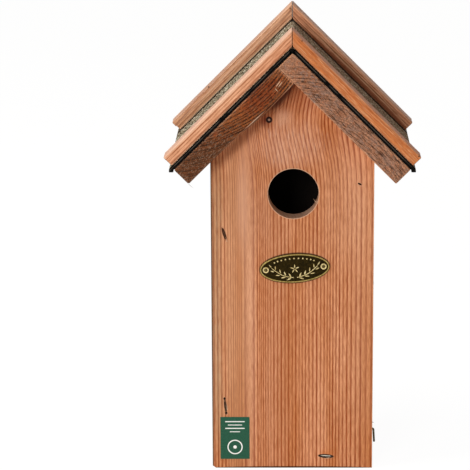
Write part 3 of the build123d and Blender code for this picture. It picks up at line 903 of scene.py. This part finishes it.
BATTEN_RISE = FELT + BATTEN_THICKNESS / 2
for place, y in (("front", ROOF_FRONT + BATTEN_WIDTH / 2), ("rear", ROOF_BACK - BATTEN_WIDTH / 2)):
    for hand, side in (("left", -1), ("right", 1)):
        node_name = f"{place}_batten_{hand}"
        x, z = on_slope(side, BATTEN_START + BATTEN_LENGTH / 2, BATTEN_RISE)
        size = (BATTEN_LENGTH, BATTEN_WIDTH, BATTEN_THICKNESS)
        batten = block(f"{place}_cover_strip_{hand}", size, (x, y, z), side * PITCH)
        saw((side * 0.04, 0, 0), (side, 0, 0), "inner")
        x, z = on_slope(side, BATTEN_START, BATTEN_RISE)
        divide((x, y, z), (side * HALF, 0, -HALF), BATTEN_LENGTH, 6)
        round_sharp(0.8, 30)
        wander(batten, 0.4)
        if node_name == "rear_batten_left":
            x, z = on_slope(-1, 145.5, 6.5)
            chip = block("chip", (4, 9, 5), (x, REAR + 0.5, z), -38)
            end_edit(close=False)
            cut_away(batten, chip)
        dress(batten, "box", node_name + "_wood", batten_larch[node_name], node_name)


# Felt and metal finishes

def mineral_felt():
    """Bitumen roofing felt, black where it is cut, with a broken grey line in the middle of its thickness
    that is both its reinforcing mat and a painted highlight, and grey-green slate grit of about 1 mm rolled
    into the top."""
    made, add, spot, mm = base("bitumen_felt_with_slate_grit")
    parts = add("SeparateXYZ", mm)
    x, y, z = parts.outputs
    out = add("Math.ABSOLUTE", x)
    level = add("Math.ADD", out, z)
    level = add("Math.SUBTRACT", level, RIDGE)
    level = add("Math.MULTIPLY", level, HALF)
    core = add("MapRange", gap(add, level, 2.3), 0.55, 0.15, 0, 0.42)
    torn = add("TexNoise", Vector=mm, Scale=0.3, Detail=3.0, Roughness=0.7)
    run = add("TexNoise", Vector=mm, Scale=0.09, Detail=2.0)
    broken = add("MapRange", run, 0.38, 0.54)
    mat_line_and_highlight = add("Math.MULTIPLY", core, broken)
    tar = add("Mix.RGBA", mat_line_and_highlight, "#060403", "#6E665C")
    facing = add("SeparateXYZ", spot.outputs["Normal"])
    up = add("MapRange", facing.outputs["Z"], 0.25, 0.5)
    # A dark line of painted shadow along the foot of the rear battens. The right slope is browner.
    foot = add("Math.MULTIPLY_ADD", torn, 2.4, gap(add, y, REAR - 3.5))
    foot_shadow = add("MapRange", foot, 5.9, 5.1)
    brown = add("MapRange", x, -6, 6, 0, 0.35)
    grain = add("TexVoronoi", Vector=mm, Scale=0.72)
    shades = add("SeparateColor", grain.outputs["Color"])
    grit = add("ValToRGB", shades)
    stops = grit.color_ramp.elements
    stops[0].color = linear("#16110A")
    stops[1].color = linear("#EAE0C8")
    for position, colour in ((0.3, "#463B2B"), (0.55, "#84765C"), (0.82, "#A3947A")):
        stops.new(position).color = linear(colour)
    tinted = add("Mix.RGBA", brown, grit, "#966A4A")
    colour = add("Mix.RGBA", up, tar, tinted)
    colour = add("Mix.RGBA", foot_shadow, colour, "#120A05")
    rough = add("MapRange", up, 0, 1, 0.82, 0.92)
    lumps = add("Math.MULTIPLY_ADD", grain.outputs["Distance"], -1.0, torn)
    surface(add, colour, rough, lumps, 0.7, 0.6, specular=0.06, IOR=1.5)
    return made


def metal(name, bright, dull, roughness, patch=0.5, metallic=1.0, bright_within=None):
    """Metal whose tone and gloss change in patches of a few millimetres, with fine dents. It may be bright
    only within a reach of a point, and dark beyond it."""
    made, add, spot, mm = base(name)
    cloud = add("TexNoise", Vector=mm, Scale=patch, Detail=4.0, Roughness=0.65)
    worn = add("MapRange", cloud, 0.36, 0.64)
    colour = add("Mix.RGBA", worn, dull, bright)
    if bright_within:
        dark_beyond = add("MapRange", reaches_from(add, mm, *bright_within), 0.75, 1.1)
        colour = add("Mix.RGBA", dark_beyond, colour, "#1C120A")
    rough = add("MapRange", worn, 0, 1, roughness + 0.14, roughness)
    dents = add("TexNoise", Vector=mm, Scale=1.7, Detail=2.0)
    surface(add, colour, rough, dents, 0.3, 0.1, Metallic=metallic)
    return made


dress(felt, "box", "mineral_felt", mineral_felt(), "roof_felt", angle=40)
patina_brass = metal("brass_darkened_in_acid", "#6A5A2C", "#33290F", 0.62, patch=0.9, metallic=0.55)
raised_brass = metal("raised_brass_line", "#E6D49C", "#B49A5C", 0.5, metallic=0.5)
dark_steel = metal("rusted_steel_wire", "#6E4A34", "#33200F", 0.8, metallic=0.0)
bright_part = ((FOOT_STAPLE_X, FACE + 1, FOOT_STAPLE_Z), (4.6, 40, 40))
bright_steel = metal("galvanised_steel_wire", "#D6CFC0", "#A39B8C", 0.5, metallic=0.5, bright_within=bright_part)
bronzed_wire = metal("bronzed_steel_wire", "#5E5A44", "#36301F", 0.45, metallic=0.8)
nail_steel = metal("galvanised_nail_steel", "#A7A6A0", "#6C6A66", 0.45)

shown_as_built = {
    "back_panel": back_larch, "left_wall": wall_larch, "side_door": door_larch, "floor_panel": floor_larch,
    "latch_hook": bronzed_wire, "roof_nails": nail_steel, "batten_brads": nail_steel,
}
for node_name, finish in shown_as_built.items():
    node = frame["nodes"][node_name]
    node.data.materials.clear()
    node.data.materials.append(finish)


# Name plate, made upright at the origin

def turned_to(x, y, z, turn):
    """A place in millimetres and a turn about the y axis in degrees, as one matrix."""
    return Matrix.Translation(metres(x, y, z)) @ Matrix.Rotation(radians(turn), 4, "Y")


def onto_plate(piece):
    """Sets a piece that was made upright at the origin onto the tilted plate."""
    only(piece)
    piece.matrix_world = turned_to(PLATE_X, FACE, PLATE_Z, PLATE_TILT) @ piece.matrix_world
    return settle()


def brass_plate():
    """Brass sheet darkened in acid, with its raised rim and bosses rubbed bright again."""
    made, add, spot, mm = base("brass_plate_rubbed_on_its_rim")
    cloud = add("TexNoise", Vector=mm, Scale=0.7, Detail=4.0, Roughness=0.7)
    speck = add("MapRange", cloud, 0.35, 0.66)
    low = add("Mix.RGBA", speck, "#150F02", "#332708")
    high = add("Mix.RGBA", speck, "#7A662E", "#B8A062")
    parts = add("SeparateXYZ", mm)
    raised = add("MapRange", parts.outputs["Y"], FACE - 1.22, FACE - 1.36)
    colour = add("Mix.RGBA", raised, low, high)
    rough = add("MapRange", raised, 0, 1, 0.62, 0.42)
    shine = add("MapRange", raised, 0, 1, 0, 0.9)
    surface(add, colour, rough, cloud, 0.6, 0.2, specular=0.04, Metallic=shine)
    return made


plate = disc("plate_sheet", 112, 1, scale=(PLATE_REACH, PLATE_HALF_HEIGHT, 1))
pull(0, -1.2, 0)
inset(0.3, 0.3)
inset(0.8)
inset(0.3, -0.5)
end_edit()
dress(onto_plate(plate), "box", "plate_brass", brass_plate(), "name_plate")


def dome(segments, rings, radius, place, foot, flattened, turn=0):
    """The front of a sphere, cut off at a foot plane and flattened towards it. Left in edit mode."""
    spot = {"location": metres(*place), "rotation": (radians(turn), 0, 0)}
    bpy.ops.mesh.primitive_uv_sphere_add(segments=segments, ring_count=rings, radius=radius * MM, **spot)
    piece = settle()
    edit()
    saw((0, foot, 0), (0, 1, 0), "outer")
    select_all()
    stretch((1, flattened, 1), (0, foot, 0))
    return piece


# A ring of bright brass round each pin, and the pin with a low domed head.
rings, pins = [], []
for side in (-1, 1):
    boss = forward(side * PIN_REACH, -1.2, 0)
    bpy.ops.mesh.primitive_cylinder_add(vertices=32, radius=2.7 * MM, depth=0.7 * MM, **boss)
    ring = settle()
    edit()
    choose(ring, "faces", lambda middle, face: len(face.verts) > 8 and middle.y < -1.3)
    inset(0.35)
    inset(0.7, -0.12)
    inset(0.2, -0.3)
    round_sharp(0.1, 40)
    end_edit(close=False)
    rings.append(ring)
    pin = dome(24, 12, 1.45, (side * PIN_REACH, -1.45, 0), -1.45, 0.5, turn=90)
    choose(pin, "faces", lambda middle, face: face.normal.y > 0.9)
    inset(0.75)
    pull(0, 12, 0)
    end_edit(close=False)
    pins.append(pin)
dress(onto_plate(joined(rings, "plate_bosses")), "box", "plate_brass", raised_brass)
dress(onto_plate(joined(pins, "plate_pin_pair")), "box", "pin_brass", patina_brass, "plate_pins")


# Staples and pivot nails

def staple(name, x, y, z, turn):
    """A wire staple 13 mm wide: its crown along z at y, its legs into the wood."""
    wire, bend, half_crown, leg = 0.6, 0.6, 5.3, 23.4
    piece = disc(name, 12, wire, (0, leg + bend, -half_crown - bend))
    corner = {"steps": 5, "angle": radians(90), "axis": (1, 0, 0)}
    pull(0, -leg, 0)
    bpy.ops.mesh.spin(center=metres(0, bend, -half_crown), **corner)
    pull(0, 0, 2 * half_crown)
    bpy.ops.mesh.spin(center=metres(0, bend, half_crown), **corner)
    pull(0, leg, 0)
    select_all()
    bpy.ops.mesh.remove_doubles(threshold=0.01 * MM)
    end_edit()
    piece.matrix_world = turned_to(x, y, z, turn)
    return settle()


sunk = [
    staple("staple_a", STAPLE_X, FACE + 2.3, UPPER_STAPLE_Z, -17),
    staple("staple_b", STAPLE_X, FACE + 1.4, LOWER_STAPLE_Z + 0.1, -6),
]
dress(joined(sunk, "wall_staples"), "box", "staple_wire", dark_steel, "body_staples")
foot_staple = staple("floor_staple", FOOT_STAPLE_X, FACE + 1.4, FOOT_STAPLE_Z - 0.1, 94)
dress(foot_staple, "box", "staple_wire", bright_steel)


def pivot_nail(name, y, way):
    """A round nail under the torn surface, driven along way from its head at y."""
    piece = disc(name, 20, 2, (PIVOT_X, y, PIVOT_Z))
    pull(0, way, 0)
    inset(0.75)
    pull(0, way * 32, 0)
    inset(1.1, 3)
    end_edit()
    return piece


pivots = [pivot_nail("pivot_a", FACE + 2, 1), pivot_nail("pivot_b", 72.45, -1)]
dress(joined(pivots, "pivot_nail_pair"), "box", "pivot_steel", nail_steel, "pivot_nails")


# Sprigs and beads on the plate

def leaf(x, z, turn, length):
    """A small raised leaf on the upright plate, pointed at both ends."""
    piece = disc("leaf", 12, 0.5, scale=(length, length * 0.3, 1))
    choose(piece, "verts", lambda middle, vert: abs(middle.x) > length * 0.49)
    stretch((1.25, 1, 1), (0, 0, 0))
    select_all()
    pull(0, -0.25, 0)
    inset(0.12, 0.1)
    end_edit()
    piece.matrix_world = turned_to(x, -0.95, z, -turn)
    return settle()


def stem(points):
    """A thin raised line through points on the upright plate."""
    line = bpy.data.curves.new("stem", "CURVE")
    line.dimensions = "3D"
    line.bevel_depth = 0.36 * MM
    line.bevel_resolution = 2
    line.use_fill_caps = True
    run = line.splines.new("NURBS")
    run.points.add(len(points) - 1)
    for knot, (x, z) in zip(run.points, points):
        knot.co = metres(x, -1, z) + [1]
    run.order_u = 3
    run.use_endpoint_u = True
    piece = bpy.data.objects.new("stem", line)
    scene.collection.objects.link(piece)
    only(piece)
    bpy.ops.object.convert(target="MESH")
    return bpy.context.object


# Leaves of the right sprig, from the middle outwards: x, z and turn
LEAVES = ((4.6, -6.2, 62), (5.6, -9.6, -22), (9, -4.4, 70), (10.6, -7.9, -8), (13.2, -2, 82), (15.6, -5.6, 6),
          (17.2, 1.4, 92), (20.2, -1.6, 22), (21.6, 3.2, 52))
raised = []
for side in (-1, 1):
    raised.append(stem([(side * x, z) for x, z in ((1.5, -8.6), (8, -7.4), (14.5, -4.2), (20.5, 1.2))]))
    for k, (x, z, turn) in enumerate(LEAVES):
        raised.append(leaf(side * x, z, turn if side > 0 else 180 - turn, 3.9 - 0.12 * k))
for k in range(-5, 6):
    angle = radians(90 - k * 9.5)
    bead = dome(12, 8, 0.75, (24 * cos(angle), -1, 9 * sin(angle)), -0.98, 0.7)
    end_edit(close=False)
    raised.append(bead)
for turn in range(90, 450, 72):
    raised.append(leaf(2.3 * cos(radians(turn)), -0.4 + 2.3 * sin(radians(turn)), turn, 3.2))
dress(onto_plate(joined(raised, "plate_sprigs")), "box", "plate_brass", raised_brass)


# Torn fibres

def splinter(name, root, tip, width, lift=0.3):
    """A torn fibre from its root to its thin tip, bowed away from the board."""
    root, tip = Vector(root), Vector(tip)
    middle = (root + tip) / 2 + Vector((0, -lift, 0))
    aim = {"location": root * MM, "rotation": (tip - root).to_track_quat("Z", "Y").to_euler()}
    bpy.ops.mesh.primitive_circle_add(vertices=6, radius=width / 2 * MM, fill_type="NGON", **aim)
    piece = settle((1, 0.5, 1))
    piece.name = name
    edit()
    select_all()
    pull(*(middle - root))
    stretch((0.75, 0.75, 0.75), middle)
    pull(*(tip - middle))
    stretch((0.2, 0.2, 0.2), tip)
    end_edit()
    return piece


def torn_wood(name, pale, dark):
    """Bare torn larch fibre, paler and duller than the oiled face, in patches of about 1 mm."""
    made, add, spot, mm = base(name)
    cloud = add("TexNoise", Vector=mm, Scale=0.9, Detail=3.0)
    tone = add("MapRange", cloud, 0.35, 0.65)
    colour = add("Mix.RGBA", tone, dark, pale)
    surface(add, colour, 0.8, IOR=1.48)
    return made


pale_fibres = joined([
    splinter("fibre_hole", (21.6, -72.2, 247.8), (18.6, -72.9, 251.6), 0.9),
    splinter("fibre_hole_b", (22.2, -72.3, 249.5), (19.6, -72.6, 249.2), 0.7),
    splinter("fibre_pivot", (57.4, -72.3, 263.6), (61.6, -72.8, 262.9), 0.7),
    splinter("fibre_staple_a", (-58, -72.3, 212), (-59.6, -73, 217), 0.7),
    splinter("fibre_staple_b", (-59, -72.3, 55), (-59.3, -73, 61), 0.7),
    splinter("fibre_staple_c", (34.2, -72.3, 9.6), (29, -72.9, 9.4), 0.7),
    splinter("fibre_chip", (72, -72.2, 177.2), (72.9, -72.3, 173.2), 0.8, 0),
    splinter("fibre_cover_strip", (-22.6, -101.8, 368.9), (-27, -102, 363.6), 0.9, 0),
], "torn_fibres")
grey_fibre = splinter("grey_fibre", (-90.6, -101.9, 271.6), (-86.2, -102.2, 267.8), 0.7, 0)
dark_fibre = splinter("fibre_edge", (71.8, -71.8, 43.8), (74, -71.8, 42.9), 1.3, 0)


# Label

def printed_card():
    """Glossy printed card: a dark green ground with a few plain white bars over a plain ring and dot."""
    made, add, spot, mm = base("printed_green_card")
    fibre = add("TexNoise", Vector=mm, Scale=1.1, Detail=3.0)
    tone = add("MapRange", fibre, 0.35, 0.65)
    ground = add("Mix.RGBA", tone, "#1E4C38", "#2A5C46")
    near = add("VectorMath.SUBTRACT", mm, (card_middle.x, 0, card_middle.z))
    parts = add("SeparateXYZ", near)
    across = add("Math.ABSOLUTE", parts.outputs["X"])
    marks = 0.0
    for level, wide, thick in ((15.6, 8.8, 0.45), (12.4, 6.4, 0.35), (9.2, 8.8, 0.45), (6, 4.6, 0.35)):
        bar = add("MapRange", gap(add, parts.outputs["Z"], level), thick + 0.1, thick - 0.1)
        within = add("Math.LESS_THAN", across, wide)
        bar = add("Math.MULTIPLY", bar, within)
        marks = add("Math.MAXIMUM", bar, marks)
    # A plain ring with a dot in it.
    low = add("VectorMath.ADD", near, (0, 0, 8.6))
    low = add("VectorMath.MULTIPLY", low, (1, 0, 1))
    far = add("VectorMath.LENGTH", low)
    for radius, half in ((6.4, 0.5), (0, 1.6)):
        ring = add("MapRange", gap(add, far, radius), half + 0.1, half - 0.1)
        marks = add("Math.MAXIMUM", ring, marks)
    colour = add("Mix.RGBA", marks, ground, "#F6F6F0")
    surface(add, colour, 0.42, specular=0.15, IOR=1.5)
    return made


card_middle = (LABEL_LOW + LABEL_HIGH) / 2
card = block("card_label", LABEL_HIGH - LABEL_LOW, card_middle)
choose(card, "edges", lambda middle, edge: abs(middle.y - card_middle.y) < 0.05)
round_edges(0.6, segments=3)
end_edit(close=False)
dress(card, "box", "label_card", printed_card(), "front_label")
dress(pale_fibres, "box", "front_panel_wood", torn_wood("torn_larch_fibre", "#EBCDAE", "#C99870"))
dress(grey_fibre, "box", "roof_board_left_wood", torn_wood("weathered_larch_fibre", "#B9AFA8", "#8A7F78"))
dress(dark_fibre, "box", "front_panel_wood", torn_wood("stained_larch_fibre", "#7A6A4E", "#4E4230"))
